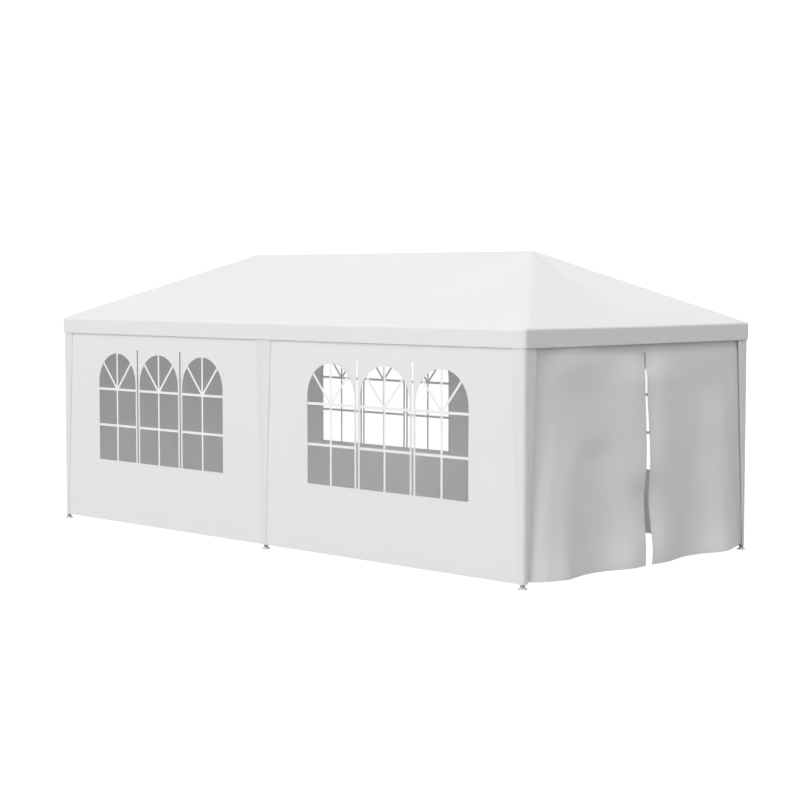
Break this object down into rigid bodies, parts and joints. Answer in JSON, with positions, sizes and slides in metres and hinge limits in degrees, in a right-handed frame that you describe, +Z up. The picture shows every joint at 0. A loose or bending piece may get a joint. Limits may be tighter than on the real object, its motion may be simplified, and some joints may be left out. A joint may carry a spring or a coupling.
{
  "type": "marquee tent",
  "caption": "Hipped-roof marquee tent: tubular frame on round base plates, fabric canopy with valance, arched-window side walls and slit door curtains at both ends.",
  "frame": {"origin": "on the ground, under the middle of the tent", "axes": "+X along the tent towards one door end, +Y across it from one window side to the other, +Z up"},
  "size_m": [6.2436, 2.985, 2.5954],
  "materials": {
    "roof_fabric": "matte coated white fabric",
    "wall_fabric": "matte coated white fabric",
    "clear_film": "clear flexible film",
    "frame_steel": "white powder coat",
    "joint_steel": "white powder coat",
    "foot_steel": "white powder coat"
  },
  "bodies": {
    "root": {"roof_panel_front": "roof_fabric", "roof_panel_back": "roof_fabric", "roof_panel_left": "roof_fabric", "roof_panel_right": "roof_fabric", "window_wall_front_left": "wall_fabric", "window_wall_front_right": "wall_fabric", "window_wall_back_left": "wall_fabric", "window_wall_back_right": "wall_fabric", "door_curtain_left_back": "wall_fabric", "door_curtain_left_front": "wall_fabric", "door_curtain_right_back": "wall_fabric", "door_curtain_right_front": "wall_fabric", "window_film_front_left": "clear_film", "window_film_front_right": "clear_film", "window_film_back_left": "clear_film", "window_film_back_right": "clear_film", "leg_front_left": "frame_steel", "leg_front_middle": "frame_steel", "leg_front_right": "frame_steel", "leg_back_left": "frame_steel", "leg_back_middle": "frame_steel", "leg_back_right": "frame_steel", "eave_tube_front_left": "frame_steel", "eave_tube_front_right": "frame_steel", "eave_tube_back_left": "frame_steel", "eave_tube_back_right": "frame_steel", "end_eave_tube_left": "frame_steel", "end_eave_tube_right": "frame_steel", "ridge_tube_left": "frame_steel", "ridge_tube_right": "frame_steel", "hip_rafter_front_left": "frame_steel", "hip_rafter_front_right": "frame_steel", "hip_rafter_back_left": "frame_steel", "hip_rafter_back_right": "frame_steel", "middle_rafter_front": "frame_steel", "middle_rafter_back": "frame_steel", "corner_joint_front_left": "joint_steel", "corner_joint_front_right": "joint_steel", "corner_joint_back_left": "joint_steel", "corner_joint_back_right": "joint_steel", "side_joint_front": "joint_steel", "side_joint_back": "joint_steel", "ridge_joint_left": "joint_steel", "ridge_joint_middle": "joint_steel", "ridge_joint_right": "joint_steel", "foot_front_left": "foot_steel", "foot_front_middle": "foot_steel", "foot_front_right": "foot_steel", "foot_back_left": "foot_steel", "foot_back_middle": "foot_steel", "foot_back_right": "foot_steel"}
  },
  "joints": []
}
